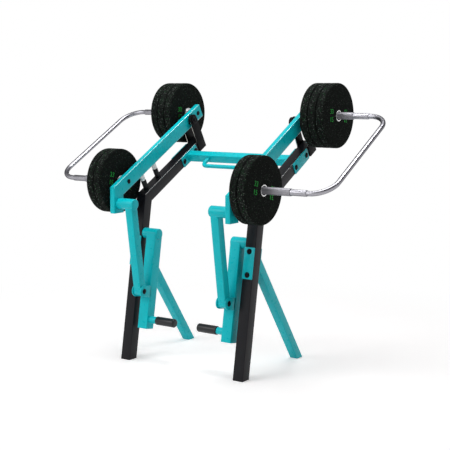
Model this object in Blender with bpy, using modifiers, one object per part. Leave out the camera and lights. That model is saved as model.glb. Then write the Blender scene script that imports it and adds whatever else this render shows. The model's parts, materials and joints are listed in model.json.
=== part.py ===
# Outdoor hamstring machine: two mirrored side frames joined by a crossbar.
# Each side carries a weighted lever that lifts a swing arm through a link.
# Metres, +Z up; the person stands facing +Y, with +X on the right.

import bmesh
import bpy
from math import cos, pi, radians, sin, tan
from mathutils import Matrix, Vector

# Clearances
seat_gap = 0.0003  # between pieces that rest on each other
running_gap = 0.0005  # round a shaft that turns
overrun = 0.010  # how far a cut runs past what it cuts
weld_sink = 0.002  # how far a welded piece reaches into its wall
weld_distance = 0.00001
smooth_angle = radians(35)

# Side frame: front leg, sloping beam and forked upright
frame_x = 0.4835
frame_tube = 0.080
frame_corner = 0.008
frame_wall = 0.004
foot_cap = 0.006
leg_lean = radians(9.7)
beam_slope = radians(29.15)
bend_height = 1.1413
upright_along = 0.7328
upright_depth = 0.088
upright_width = 0.080
upright_below = 0.048
upright_wall = 0.006
fork_side_gap = 0.001
fork_floor_gap = 0.0305

# Lever arm with its drop to the link
lever_rise = 0.2085
lever_width = 0.040
lever_depth = 0.100
lever_low = lever_rise - lever_depth / 2
lever_corner = 0.006
lever_wall = 0.004
lever_cap = 0.005
drop_reach = 0.1055
drop_below_pivot = 0.067
drain_radius = 0.006

# Lever pivot
pivot_pin_radius = 0.020
pivot_disc_radius = 0.040
pivot_disc_thickness = 0.003
pivot_bush_radius = 0.032

# Rest stops under the lever
lower_stop_along = 0.0508
upper_stop_along = 0.2028
stop_post_radius = 0.019
stop_pad_length = 0.0502
stop_pad_radius = 0.018

# Weight sleeves, rail and plates
front_sleeve_along = -0.1051
rear_sleeve_behind_pivot = 0.0988
rear_sleeve_along = upright_along + rear_sleeve_behind_pivot
tail_behind_sleeve = 0.0437
lever_tail = rear_sleeve_along + tail_behind_sleeve
sleeve_radius = 0.025
sleeve_wall = 0.004
sleeve_reach = 0.3765
sleeve_tip_x = frame_x + sleeve_reach
sleeve_base = 0.014
collar_radius = 0.030
flange_radius = 0.038
flange_thickness = 0.008
front_flange_reach = 0.052
front_flange_x = frame_x + front_flange_reach
rear_flange_reach = 0.0745
rear_flange_x = frame_x + rear_flange_reach
coupler_reach = 0.116
coupler_end_x = sleeve_tip_x + coupler_reach
coupler_socket = 0.045
rail_radius = 0.017
rail_wall = 0.003
rail_lead = 0.014
rail_bend = 0.140
rail_x = coupler_end_x + rail_lead + rail_bend
plate_radius = 0.225
plate_pitch = 0.0625
plate_rim = 0.011
ring_radius = 0.038
ring_bore_gap = 0.0004
ring_proud = 0.001
front_plates = 2
rear_plates = 3

# Bolts
bolt_head_radius = 0.0135
bolt_head_height = 0.008
bolt_shank_radius = 0.008
sleeve_bolt_head_radius = 0.012
bolt_crown_share = 0.6

# Crossbar with its handle
crossbar_before_pivot = 0.175
crossbar_along = upright_along - crossbar_before_pivot
crossbar_tube = 0.060
crossbar_corner = 0.006
crossbar_wall = 0.004
crossbar_flange_length = 0.200
crossbar_flange_thickness = 0.007
crossbar_vent_radius = 0.010
crossbar_bolt_spacing = 0.157
handle_x = 0.250
handle_reach = 0.090
handle_radius = 0.0145
handle_wall = 0.003
handle_bend = 0.040

# Clamp plates that answer the crossbar's and the rear leg's flanges
clamp_length = 0.2115
clamp_thickness = 0.006
clamp_below_pivot = 0.1295
clamp_bolt_spacing = 0.156

# Rear leg
rear_axis_above_clamp = 0.0073
rear_lean = radians(35.0)
rear_tube = 0.060
rear_corner = 0.006
rear_wall = 0.004
rear_flange_length = 0.210
rear_flange_width = 0.076
rear_flange_thickness = 0.008

# Swing arm
arm_from_frame = 0.1235
arm_x = frame_x - arm_from_frame
arm_tube = 0.080
arm_corner = 0.008
arm_wall = 0.004
arm_cap = 0.005
arm_pivot_height = 0.893
arm_hub_radius = 0.038
hub_rounding = 0.008
arm_hub_reach = 0.046
arm_hub_end_x = arm_x - arm_hub_reach
arm_hub_wall = 0.008
arm_shaft_radius = 0.018
hub_end_gap = 0.004
arm_shaft_end_x = arm_hub_end_x + arm_hub_wall + hub_end_gap
clevis_down = 0.408
clevis_reach = 0.101
clevis_cheek = 0.008
clevis_side_gap = 0.001
clevis_nose = 0.042
clevis_root = 0.014

# Link between lever and swing arm
link_x = arm_x
link_tube = 0.060
link_hub_proud = 0.001
link_corner = 0.006
link_wall = 0.004
link_top_depth = 0.0854
link_top_radius = 0.038
link_top_reach = 0.042
link_top_end_x = link_x - link_top_reach
link_top_wall = 0.010
link_low_radius = 0.034
link_low_width = link_tube + 2 * link_hub_proud
cheek_inner = link_low_width / 2 + clevis_side_gap
cheek_outer = cheek_inner + clevis_cheek
link_shaft_radius = 0.015
link_shaft_end_x = link_top_end_x + link_top_wall + hub_end_gap

# Foot peg with its rolling grip
peg_down = 0.6067
arm_below_peg = 0.0663
peg_radius = 0.025
peg_length = 0.060
peg_end_x = arm_x - arm_tube / 2 - peg_length
axle_radius = 0.012
grip_length = 0.160
grip_end_x = peg_end_x - grip_length
grip_radius = 0.030
grip_end_wall = 0.018
axle_end_x = grip_end_x + grip_end_wall + hub_end_gap
grip_rounding = 0.010

# Facets
plate_steps = 28
round_steps = 16
sleeve_steps = 16
bolt_steps = 8
arc_steps = 5
cap_steps = 8
corner_segments = 2
rim_segments = 2
pipe_resolution = 3
bore_resolution = 1

# Directions in the side plane, as (y, z)
beam_direction = Vector((cos(beam_slope), sin(beam_slope)))
beam_normal = Vector((-sin(beam_slope), cos(beam_slope)))
leg_direction = Vector((sin(leg_lean), cos(leg_lean)))
leg_front = Vector((-cos(leg_lean), sin(leg_lean)))
rear_direction = Vector((-sin(rear_lean), cos(rear_lean)))
down = Vector((0, -1))

# The origin lies on the floor, halfway between the plates' outermost edges.
middle_along = (front_sleeve_along + rear_sleeve_along) / 2
middle_y = bend_height * tan(leg_lean) + middle_along * beam_direction.x + lever_rise * beam_normal.x
foot = Vector((-middle_y, 0))
bend = foot + leg_direction * (bend_height / leg_direction.y)

parts = bpy.data.collections.new("hamstring_machine")
tools = bpy.data.collections.new("cutters")


def on_beam(along, rise=0):
    return bend + beam_direction * along + beam_normal * rise


def on_leg(up, front=0):
    return foot + leg_direction * up + leg_front * front


def spot(x, point):
    return Vector((x, point.x, point.y))


lever_pivot = on_beam(upright_along, lever_rise)
lever_end = on_beam(lever_tail, lever_rise)
lever_mitre = lever_end - beam_direction * ((lever_end.x - foot.x + drop_reach) / beam_direction.x)
link_top = lever_mitre + down * link_top_depth
drop_bottom = link_top + down * drop_below_pivot
arm_pivot_up = arm_pivot_height / leg_direction.y
arm_pivot = on_leg(arm_pivot_up)
arm_length = peg_down + arm_below_peg
clamp_up_leg = arm_pivot_up - clamp_below_pivot
rear_face = frame_tube / 2 + seat_gap + rear_flange_thickness
rear_top = on_leg(clamp_up_leg + rear_axis_above_clamp, -rear_face)
heel = rear_top - rear_direction * (rear_top.y / rear_direction.y)
stop_post_top = lever_low - seat_gap - stop_pad_length
fork_slot = lever_width + 2 * fork_side_gap
fork_floor = lever_low - fork_floor_gap
link_low = arm_pivot - leg_direction * clevis_down + leg_front * clevis_reach
sleeve_inner_x = frame_x + lever_width / 2 + seat_gap
lever_inner_x = frame_x - lever_width / 2
frame_inner_x = frame_x - frame_tube / 2
frame_outer_x = frame_x + frame_tube / 2


def start_clean():
    for item in list(bpy.data.objects):
        bpy.data.objects.remove(item, do_unlink=True)
    bpy.context.scene.collection.children.link(parts)
    bpy.context.scene.collection.children.link(tools)


def finish_material(name, colour, roughness, metallic):
    material = bpy.data.materials.new(name)
    material.use_nodes = True
    shader = material.node_tree.nodes["Principled BSDF"]
    shader.inputs["Base Color"].default_value = (*colour, 1)
    shader.inputs["Roughness"].default_value = roughness
    shader.inputs["Metallic"].default_value = metallic
    material.diffuse_color = (*colour, 1)
    return material


def to_mesh(form, name="form"):
    bmesh.ops.remove_doubles(form, verts=form.verts, dist=weld_distance)
    bmesh.ops.recalc_face_normals(form, faces=form.faces)
    mesh = bpy.data.meshes.new(name)
    form.to_mesh(mesh)
    form.free()
    return mesh


def gather(meshes):
    # Several separate forms as one mesh, to cut or join in one step.
    form = bmesh.new()
    for mesh in meshes:
        form.from_mesh(mesh)
        bpy.data.meshes.remove(mesh)
    return to_mesh(form)


def curve_mesh(curve):
    # A curve's surface as a welded mesh.
    holder = bpy.data.objects.new("guide", curve)
    tools.objects.link(holder)
    scene_state = bpy.context.evaluated_depsgraph_get()
    mesh = bpy.data.meshes.new_from_object(holder.evaluated_get(scene_state))
    bpy.data.objects.remove(holder, do_unlink=True)
    bpy.data.curves.remove(curve)
    form = bmesh.new()
    form.from_mesh(mesh)
    bpy.data.meshes.remove(mesh)
    return to_mesh(form)


def slab(outline, x, thickness):
    # A flat outline in the side plane, with its thickness along X.
    curve = bpy.data.curves.new("outline", "CURVE")
    curve.dimensions = "2D"
    curve.fill_mode = "BOTH"
    curve.extrude = thickness / 2
    spline = curve.splines.new("POLY")
    spline.points.add(len(outline) - 1)
    for knot, point in zip(spline.points, outline):
        knot.co = (point.x, point.y, 0, 1)
    spline.use_cyclic_u = True
    mesh = curve_mesh(curve)
    to_side = Matrix.Rotation(pi / 2, 4, "Z") @ Matrix.Rotation(pi / 2, 4, "X")
    mesh.transform(Matrix.Translation((x, 0, 0)) @ to_side)
    return mesh


def rectangle(centre, direction, length, height):
    across = Vector((-direction.y, direction.x))
    corners = ((-1, -1), (1, -1), (1, 1), (-1, 1))
    return [centre + direction * (length / 2 * a) + across * (height / 2 * b) for a, b in corners]


def arc(centre, radius, first, last, steps):
    angles = [first + (last - first) * step / steps for step in range(steps + 1)]
    return [centre + Vector((cos(angle), sin(angle))) * radius for angle in angles]


def pipe(points, radius, resolution):
    # A round solid along a line of points, with flat ends.
    curve = bpy.data.curves.new("line", "CURVE")
    curve.dimensions = "3D"
    curve.bevel_depth = radius
    curve.bevel_resolution = resolution
    curve.use_fill_caps = True
    spline = curve.splines.new("POLY")
    spline.points.add(len(points) - 1)
    for knot, point in zip(spline.points, points):
        knot.co = (*point, 1)
    return curve_mesh(curve)


def rod(start, end, radius, steps, tip_radius=None):
    # A round bar, or a cone where its tip has another radius.
    form = bmesh.new()
    axis = end - start
    turn = axis.to_track_quat("Z", "Y").to_matrix().to_4x4()
    bmesh.ops.create_cone(
        form,
        cap_ends=True,
        segments=steps,
        radius1=radius,
        radius2=radius if tip_radius is None else tip_radius,
        depth=axis.length,
        matrix=Matrix.Translation((start + end) / 2) @ turn,
    )
    return to_mesh(form)


def rounded_rod(start, end, radius, steps, rounding):
    # A round bar whose far end has a rounded rim.
    mesh = rod(start, end, radius, steps)
    form = bmesh.new()
    form.from_mesh(mesh)
    bpy.data.meshes.remove(mesh)
    limit = rounding * rounding
    far = {vert for vert in form.verts if (vert.co - end).length_squared < radius * radius + limit}
    rim = [edge for edge in form.edges if far.issuperset(edge.verts)]
    bmesh.ops.bevel(
        form,
        geom=rim,
        offset=rounding,
        segments=rim_segments,
        profile=0.5,
        affect="EDGES",
    )
    return to_mesh(form)


def rounded_bar(length, width, depth, corner):
    # A bar along Z whose four long edges are rounded, or sharp where the corner is zero.
    form = bmesh.new()
    bmesh.ops.create_cube(form, size=1)
    bmesh.ops.scale(form, vec=(width, depth, length), verts=form.verts)
    if corner == 0:
        return form
    long_edges = [e for e in form.edges if abs(e.verts[0].co.z - e.verts[1].co.z) > length / 2]
    bmesh.ops.bevel(
        form,
        geom=long_edges,
        offset=corner,
        segments=corner_segments,
        profile=0.5,
        affect="EDGES",
    )
    return form


def trim(form, point, normal, close):
    # Takes away what lies beyond a plane and may close the cut.
    geometry = form.verts[:] + form.edges[:] + form.faces[:]
    result = bmesh.ops.bisect_plane(
        form, geom=geometry, plane_co=point, plane_no=normal, clear_outer=True
    )
    if close:
        rim = [item for item in result["geom_cut"] if isinstance(item, bmesh.types.BMEdge)]
        bmesh.ops.edgeloop_fill(form, edges=rim)


def bar_run(points, x, width, depth, corner, normals=(None, None), shifts=(0, 0)):
    # Bars along a bent centreline in the side plane, mitred and welded at its bends.
    # Each end lies on a plane: its normal points out of the bar and its shift moves it out.
    directions = [(after - before).normalized() for before, after in zip(points, points[1:])]
    normal_in = normals[0] or -directions[0]
    normal_out = normals[1] or directions[-1]
    planes = [(points[0] + normal_in * shifts[0], normal_in)]
    for point, before, after in zip(points[1:], directions, directions[1:]):
        planes.append((point, (before + after).normalized()))
    planes.append((points[-1] + normal_out * shifts[1], normal_out))
    whole = bmesh.new()
    last = len(directions) - 1
    for index, direction in enumerate(directions):
        start = points[index] - direction * (depth + overrun)
        end = points[index + 1] + direction * (depth + overrun)
        form = rounded_bar((end - start).length, width, depth, corner)
        along = Vector((0, direction.x, direction.y))
        across = along.cross(Vector((1, 0, 0)))
        turn = Matrix((Vector((1, 0, 0)), across, along)).transposed().to_4x4()
        place = Matrix.Translation(spot(x, (start + end) / 2)) @ turn
        bmesh.ops.transform(form, matrix=place, verts=form.verts)
        point, normal = planes[index]
        outward = normal if index == 0 else -normal
        trim(form, spot(x, point), Vector((0, outward.x, outward.y)), index == 0)
        point, normal = planes[index + 1]
        trim(form, spot(x, point), Vector((0, normal.x, normal.y)), index == last)
        piece = to_mesh(form)
        whole.from_mesh(piece)
        bpy.data.meshes.remove(piece)
    return to_mesh(whole)


def cross_bar(x_low, x_high, point, size, corner):
    # A square bar along X, turned with the beam.
    form = rounded_bar(x_high - x_low, size, size, corner)
    turn = Matrix.Rotation(beam_slope, 4, "X") @ Matrix.Rotation(pi / 2, 4, "Y")
    place = Matrix.Translation(spot((x_low + x_high) / 2, point)) @ turn
    bmesh.ops.transform(form, matrix=place, verts=form.verts)
    return to_mesh(form)


def pivot_empty(name, origin, parent=None):
    empty = bpy.data.objects.new(name, None)
    parts.objects.link(empty)
    empty.empty_display_size = frame_tube
    place(empty, origin, parent)
    return empty


def place(item, origin, parent):
    item.location = origin
    item["home"] = origin
    if parent:
        item.parent = parent
        item.matrix_parent_inverse = Matrix.Translation(-Vector(parent["home"]))


def part(name, mesh, material, origin, parent):
    # A named piece whose mesh was drawn in place, with its origin where it turns or sits.
    mesh.name = name
    mesh.transform(Matrix.Translation(-origin))
    mesh.materials.clear()
    mesh.materials.append(material)
    mesh.shade_smooth()
    mesh.set_sharp_from_angle(angle=smooth_angle)
    item = bpy.data.objects.new(name, mesh)
    parts.objects.link(item)
    place(item, origin, parent)
    return item


def work(item, label, mesh, operation):
    # Joins or cuts a piece with a form drawn in place, which stays as its wire guide.
    mesh.transform(Matrix.Translation(-Vector(item["home"])))
    mesh.shade_smooth()
    mesh.set_sharp_from_angle(angle=smooth_angle)
    guide = bpy.data.objects.new(item.name + "_" + label, mesh)
    tools.objects.link(guide)
    guide.parent = item
    guide.display_type = "WIRE"
    guide.hide_render = True
    step = item.modifiers.new(label, "BOOLEAN")
    step.operation = operation
    step.solver = "EXACT"
    step.object = guide


def join(item, label, mesh):
    work(item, label, mesh, "UNION")


def cut(item, label, mesh):
    work(item, label, mesh, "DIFFERENCE")


def turned(name, profile, material, side, point, steps, parent):
    # A ring about X. Its profile holds (distance from the middle plane, radius) and runs
    # inwards along its outer side; the left side's copy is turned half round.
    mesh = bpy.data.meshes.new(name)
    form = bmesh.new()
    rim = [form.verts.new((x, radius, 0)) for x, radius in profile]
    for before, after in zip(rim, rim[1:] + rim[:1]):
        form.edges.new((before, after))
    form.to_mesh(mesh)
    form.free()
    mesh.materials.append(material)
    item = bpy.data.objects.new(name, mesh)
    parts.objects.link(item)
    place(item, spot(0, point), parent)
    item.rotation_euler = (0, 0, 0 if side > 0 else pi)
    screw = item.modifiers.new("turn", "SCREW")
    screw.axis = "X"
    screw.angle = 2 * pi
    screw.steps = steps
    screw.render_steps = steps
    screw.use_merge_vertices = True
    screw.merge_threshold = weld_distance
    screw.use_smooth_shade = True
    return item


def side_rod(side, x_start, x_end, point, radius, steps, tip_radius=None):
    return rod(spot(side * x_start, point), spot(side * x_end, point), radius, steps, tip_radius)


def hub(side, x_start, x_end, point, radius):
    # A round hub whose inner end has a rounded rim.
    start = spot(side * x_start, point)
    return rounded_rod(start, spot(side * x_end, point), radius, round_steps, hub_rounding)


def bolt_head(face, outward, radius=bolt_head_radius, sink=0):
    # A domed head that stands on a face, or is welded into it.
    top = face + outward * bolt_head_height
    return rod(face - outward * sink, top, radius, bolt_steps, radius * bolt_crown_share)


def bolt_points(centre, direction, spacing):
    return [centre - direction * (spacing / 2), centre + direction * (spacing / 2)]


def through_bolt(start, end):
    # A bolt with a domed head at both ends of its grip, as one turned body.
    outward = (start - end).normalized()
    grip = rod(start + outward * weld_sink, end - outward * weld_sink, bolt_shank_radius, bolt_steps)
    head = bolt_head(start, outward, sink=weld_sink)
    return [grip, head, bolt_head(end, -outward)]


def crossbar_bolts():
    return bolt_points(on_beam(crossbar_along), beam_direction, crossbar_bolt_spacing)


def leg_bolts():
    return bolt_points(on_leg(clamp_up_leg), leg_direction, clamp_bolt_spacing)


def front_frame(side, tag, paint):
    x = side * frame_x
    beam_end = upright_along - upright_depth / 2 - seat_gap
    line = [foot, bend, on_beam(beam_end)]
    outside = bar_run(line, x, frame_tube, frame_tube, frame_corner, (down, None))
    frame = part("front_frame_" + tag, outside, paint, spot(x, foot), None)
    hollow = frame_tube - 2 * frame_wall
    inside = bar_run(line, x, hollow, hollow, 0, (down, None), (-foot_cap, overrun))
    cut(frame, "hollow", inside)
    posts = []
    for along in (lower_stop_along, upper_stop_along):
        low = spot(x, on_beam(along, frame_tube / 2 - weld_sink))
        posts.append(rod(low, spot(x, on_beam(along, stop_post_top)), stop_post_radius, round_steps))
    join(frame, "stop_posts", gather(posts))
    shaft_start = frame_inner_x + weld_sink
    shaft = side_rod(side, shaft_start, arm_shaft_end_x, arm_pivot, arm_shaft_radius, round_steps)
    join(frame, "arm_shaft", shaft)
    radius = bolt_shank_radius + seat_gap
    holes = []
    for point in crossbar_bolts():
        start_x = frame_inner_x - overrun
        end_x = frame_outer_x + overrun
        holes.append(side_rod(side, start_x, end_x, point, radius, bolt_steps))
    reach = leg_front * (frame_tube / 2 + overrun)
    for point in leg_bolts():
        holes.append(rod(spot(x, point + reach), spot(x, point - reach), radius, bolt_steps))
    cut(frame, "bolt_holes", gather(holes))


def fork_upright(side, tag, paint):
    x = side * frame_x
    half = upright_depth / 2
    top = on_beam(upright_along, lever_rise)
    outline = [on_beam(upright_along - half, -upright_below), on_beam(upright_along + half, -upright_below)]
    outline += arc(top, half, beam_slope, beam_slope + pi, cap_steps)
    upright = part("fork_upright_" + tag, slab(outline, x, upright_width), paint, spot(x, top), None)
    slot_top = on_beam(upright_along, lever_rise + half + overrun)
    slot_low = on_beam(upright_along, fork_floor)
    slot_length = (slot_top - slot_low).length
    slot = rectangle((slot_top + slot_low) / 2, beam_normal, slot_length, upright_depth + 2 * overrun)
    cut(upright, "slot", slab(slot, x, fork_slot))
    inside = [on_beam(upright_along, -upright_below - overrun), slot_low - beam_normal * upright_wall]
    hollow_width = upright_width - 2 * upright_wall
    hollow_depth = upright_depth - 2 * upright_wall
    cut(upright, "hollow", bar_run(inside, x, hollow_width, hollow_depth, 0))
    bore_start = frame_inner_x - overrun
    bore_end = frame_outer_x + overrun
    bore_radius = pivot_pin_radius + seat_gap
    cut(upright, "bore", side_rod(side, bore_start, bore_end, lever_pivot, bore_radius, round_steps))


def lever_pin(side, tag, steel):
    inner = frame_x - upright_width / 2 - seat_gap
    outer = frame_x + upright_width / 2 + seat_gap
    core = side_rod(side, inner - weld_sink, outer + weld_sink, lever_pivot, pivot_pin_radius, round_steps)
    origin = spot(side * frame_x, lever_pivot)
    pin = part("lever_pivot_pin_" + tag, core, steel, origin, None)
    discs = []
    for start, end in ((inner, inner - pivot_disc_thickness), (outer, outer + pivot_disc_thickness)):
        discs.append(side_rod(side, start, end, lever_pivot, pivot_disc_radius, round_steps))
    join(pin, "end_discs", gather(discs))


def stop_pads(side, tag, rubber):
    x = side * frame_x
    top = lever_low - seat_gap
    for label, along in (("lower", lower_stop_along), ("upper", upper_stop_along)):
        low = spot(x, on_beam(along, stop_post_top + seat_gap))
        pad = rod(low, spot(x, on_beam(along, top)), stop_pad_radius, round_steps)
        part("stop_pad_" + label + "_" + tag, pad, rubber, low, None)


def rear_leg(side, tag, paint):
    x = side * frame_x
    # The leg ends inside the flange, on a plane that follows the front leg.
    line = [heel, rear_top + rear_direction * (weld_sink / rear_direction.dot(leg_front))]
    outside = bar_run(line, x, rear_tube, rear_tube, rear_corner, (down, leg_front))
    leg = part("rear_leg_" + tag, outside, paint, spot(x, heel), None)
    centre = on_leg(clamp_up_leg, -(rear_face - rear_flange_thickness / 2))
    flange = rectangle(centre, leg_direction, rear_flange_length, rear_flange_thickness)
    join(leg, "flange", slab(flange, x, rear_flange_width))
    hollow = rear_tube - 2 * rear_wall
    ends = (-foot_cap, rear_flange_thickness + overrun)
    inside = bar_run(line, x, hollow, hollow, 0, (down, leg_front), ends)
    cut(leg, "hollow", inside)
    radius = bolt_shank_radius + seat_gap
    reach = rear_flange_thickness + overrun
    holes = []
    for point in leg_bolts():
        middle = point - leg_front * (rear_face - rear_flange_thickness / 2)
        start = spot(x, middle + leg_front * reach)
        holes.append(rod(start, spot(x, middle - leg_front * reach), radius, bolt_steps))
    cut(leg, "bolt_holes", gather(holes))


def leg_clamp(side, tag, paint):
    # The plate on the front leg's face, with the two bolts that hold the rear leg's flange.
    x = side * frame_x
    face = frame_tube / 2 + seat_gap
    centre = on_leg(clamp_up_leg, face + clamp_thickness / 2)
    outline = rectangle(centre, leg_direction, clamp_length, clamp_thickness)
    plate = part("leg_clamp_plate_" + tag, slab(outline, x, frame_tube), paint, spot(x, centre), None)
    back = frame_tube / 2 + 2 * seat_gap + rear_flange_thickness
    for number, point in enumerate(leg_bolts()):
        start = spot(x, point + leg_front * (face + clamp_thickness))
        end = spot(x, point - leg_front * back)
        for label, mesh in zip(("grip", "head", "nut"), through_bolt(start, end)):
            join(plate, label + str(number + 1), mesh)


def crossbar_clamp(side, tag, paint):
    # The plate on the beam's outer face, with the two bolts that hold the crossbar's flange.
    inner = frame_outer_x + seat_gap
    outer = inner + clamp_thickness
    centre = on_beam(crossbar_along)
    outline = rectangle(centre, beam_direction, clamp_length, frame_tube)
    x = side * (inner + outer) / 2
    plate = part("crossbar_clamp_plate_" + tag, slab(outline, x, clamp_thickness), paint, spot(x, centre), None)
    back = frame_inner_x - 2 * seat_gap - crossbar_flange_thickness
    for number, point in enumerate(crossbar_bolts()):
        bodies = through_bolt(spot(side * outer, point), spot(side * back, point))
        for label, mesh in zip(("grip", "head", "nut"), bodies):
            join(plate, label + str(number + 1), mesh)


def crossbar(paint):
    centre = on_beam(crossbar_along)
    end_x = frame_inner_x - seat_gap
    middle_x = end_x - crossbar_flange_thickness / 2
    reach = end_x - crossbar_flange_thickness + weld_sink
    tube = cross_bar(-reach, reach, centre, crossbar_tube, crossbar_corner)
    bar = part("crossbar", tube, paint, spot(0, centre), None)
    outline = rectangle(centre, beam_direction, crossbar_flange_length, frame_tube)
    flanges = [slab(outline, side * middle_x, crossbar_flange_thickness) for side in (-1, 1)]
    join(bar, "flanges", gather(flanges))
    hollow = crossbar_tube - 2 * crossbar_wall
    inner_reach = end_x - crossbar_flange_thickness
    inside = cross_bar(-inner_reach, inner_reach, centre, hollow, 0)
    cut(bar, "hollow", inside)
    radius = bolt_shank_radius + seat_gap
    holes = []
    for side in (-1, 1):
        inner = inner_reach - overrun
        outer = end_x + overrun
        holes.append(side_rod(side, inner, outer, centre, crossbar_vent_radius, bolt_steps))
        for point in crossbar_bolts():
            holes.append(side_rod(side, inner, outer, point, radius, bolt_steps))
    cut(bar, "holes", gather(holes))


def handle_line(extra):
    # Up one leg, along the bar and down the other; extra lengthens both legs' ends.
    face = crossbar_along - crossbar_tube / 2 - seat_gap
    bar_along = face - handle_reach
    half_turn = arc(Vector((-handle_x + handle_bend, bar_along + handle_bend)), handle_bend, pi, 1.5 * pi, arc_steps)
    left = [Vector((-handle_x, face + extra))] + half_turn
    right = [Vector((-point.x, point.y)) for point in reversed(left)]
    return [spot(point.x, on_beam(point.y)) for point in left + right]


def handle(paint):
    outside = pipe(handle_line(0), handle_radius, pipe_resolution)
    bar = part("handle", outside, paint, spot(0, on_beam(crossbar_along)), None)
    cut(bar, "hollow", pipe(handle_line(overrun), handle_radius - handle_wall, bore_resolution))


def lever_arm(side, tag, paint, pivot):
    x = side * frame_x
    line = [lever_end, lever_mitre, drop_bottom]
    outside = bar_run(line, x, lever_width, lever_depth, lever_corner)
    lever = part("lever_arm_" + tag, outside, paint, spot(x, lever_pivot), pivot)
    width = lever_width - 2 * lever_wall
    depth = lever_depth - 2 * lever_wall
    caps = (-lever_cap, -lever_cap)
    cut(lever, "hollow", bar_run(line, x, width, depth, 0, (None, None), caps))
    half = lever_width / 2 - lever_wall + weld_sink
    start_x = frame_x - half
    end_x = frame_x + half
    join(lever, "bush", side_rod(side, start_x, end_x, lever_pivot, pivot_bush_radius, round_steps))
    shaft_start = lever_inner_x + weld_sink
    shaft = side_rod(side, shaft_start, link_shaft_end_x, link_top, link_shaft_radius, round_steps)
    join(lever, "link_shaft", shaft)
    start_x = lever_inner_x - overrun
    end_x = lever_inner_x + lever_width + overrun
    pin_bore = pivot_pin_radius + running_gap
    holes = [side_rod(side, start_x, end_x, lever_pivot, pin_bore, round_steps)]
    for along in (front_sleeve_along, rear_sleeve_along):
        point = on_beam(along, lever_rise)
        radius = bolt_shank_radius + seat_gap
        holes.append(side_rod(side, start_x, end_x, point, radius, bolt_steps))
    drain = spot(x, line[-1])
    rise = Vector((0, 0, lever_cap + overrun))
    holes.append(rod(drain - rise, drain + rise, drain_radius, bolt_steps))
    cut(lever, "holes", gather(holes))


def sleeve(side, tag, label, along, flange_x, steel, pivot):
    # The loading sleeve: bolted base, collar and flange, then the open tube.
    point = on_beam(along, lever_rise)
    bore = sleeve_radius - sleeve_wall
    bolt_bore = bolt_shank_radius + seat_gap
    profile = [
        (sleeve_tip_x, sleeve_radius),
        (flange_x, sleeve_radius),
        (flange_x, flange_radius),
        (flange_x - flange_thickness, flange_radius),
        (flange_x - flange_thickness, collar_radius),
        (sleeve_inner_x, collar_radius),
        (sleeve_inner_x, bolt_bore),
        (sleeve_inner_x + sleeve_base, bolt_bore),
        (sleeve_inner_x + sleeve_base, bore),
        (sleeve_tip_x, bore),
    ]
    turned(label + "_sleeve_" + tag, profile, steel, side, point, sleeve_steps, pivot)


def sleeve_bolt(side, tag, label, along, steel, pivot):
    point = on_beam(along, lever_rise)
    face_x = lever_inner_x - seat_gap
    end_x = sleeve_inner_x + sleeve_base
    shank = side_rod(side, face_x - weld_sink, end_x, point, bolt_shank_radius, bolt_steps)
    origin = spot(side * face_x, point)
    bolt = part(label + "_sleeve_bolt_" + tag, shank, steel, origin, pivot)
    outward = Vector((-side, 0, 0))
    join(bolt, "head", bolt_head(origin, outward, sleeve_bolt_head_radius))


def rail_line(side, start_x):
    # Out from the front sleeve, back along the machine's side and in to the rear sleeve.
    turn_x = rail_x - rail_bend
    front = front_sleeve_along + rail_bend
    rear = rear_sleeve_along - rail_bend
    flat = [Vector((start_x, front_sleeve_along))]
    flat += arc(Vector((turn_x, front)), rail_bend, -pi / 2, 0, arc_steps)
    flat += arc(Vector((turn_x, rear)), rail_bend, 0, pi / 2, arc_steps)
    flat.append(Vector((start_x, rear_sleeve_along)))
    return [spot(side * point.x, on_beam(point.y, lever_rise)) for point in flat]


def weight_rail(side, tag, steel, pivot):
    socket_x = sleeve_tip_x - coupler_socket
    origin = spot(side * rail_x, on_beam(middle_along, lever_rise))
    outside = pipe(rail_line(side, sleeve_tip_x), rail_radius, pipe_resolution)
    rail = part("weight_rail_" + tag, outside, steel, origin, pivot)
    radius = sleeve_radius - sleeve_wall - seat_gap
    couplers = []
    for along in (front_sleeve_along, rear_sleeve_along):
        point = on_beam(along, lever_rise)
        couplers.append(side_rod(side, socket_x, coupler_end_x, point, radius, sleeve_steps))
    join(rail, "couplers", gather(couplers))
    inside = pipe(rail_line(side, socket_x - overrun), rail_radius - rail_wall, bore_resolution)
    cut(rail, "hollow", inside)


def weight_plate(side, name, tag, inner_x, point, rubber, steel, parent):
    # A rubber plate with its rounded rim, and the steel ring in its middle.
    outer_x = inner_x + plate_pitch - seat_gap
    ring_bore = sleeve_radius + ring_bore_gap
    ring = [(outer_x, ring_radius), (inner_x, ring_radius), (inner_x, ring_bore), (outer_x, ring_bore)]
    turned(name + "_ring_" + tag, ring, steel, side, point, sleeve_steps, parent)
    low = inner_x + ring_proud
    high = outer_x - ring_proud
    shoulder = plate_radius - plate_rim
    bore = ring_radius + seat_gap
    rubber_profile = [
        (high - plate_rim, plate_radius),
        (low + plate_rim, plate_radius),
        (low, shoulder),
        (low, bore),
        (high, bore),
        (high, shoulder),
    ]
    turned(name + "_" + tag, rubber_profile, rubber, side, point, plate_steps, parent)


def plate_stack(side, tag, label, along, count, flange_x, rubber, steel, lever):
    # Each plate slides outwards from the one before it, so the pivots are chained.
    parent = lever
    point = on_beam(along, lever_rise)
    for number in range(count):
        inner_x = flange_x + seat_gap + number * plate_pitch
        name = label + "_plate_" + str(number + 1)
        slide = pivot_empty(name + "_slide_" + tag, spot(side * inner_x, point), parent)
        weight_plate(side, name, tag, inner_x, point, rubber, steel, slide)
        parent = slide


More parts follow.
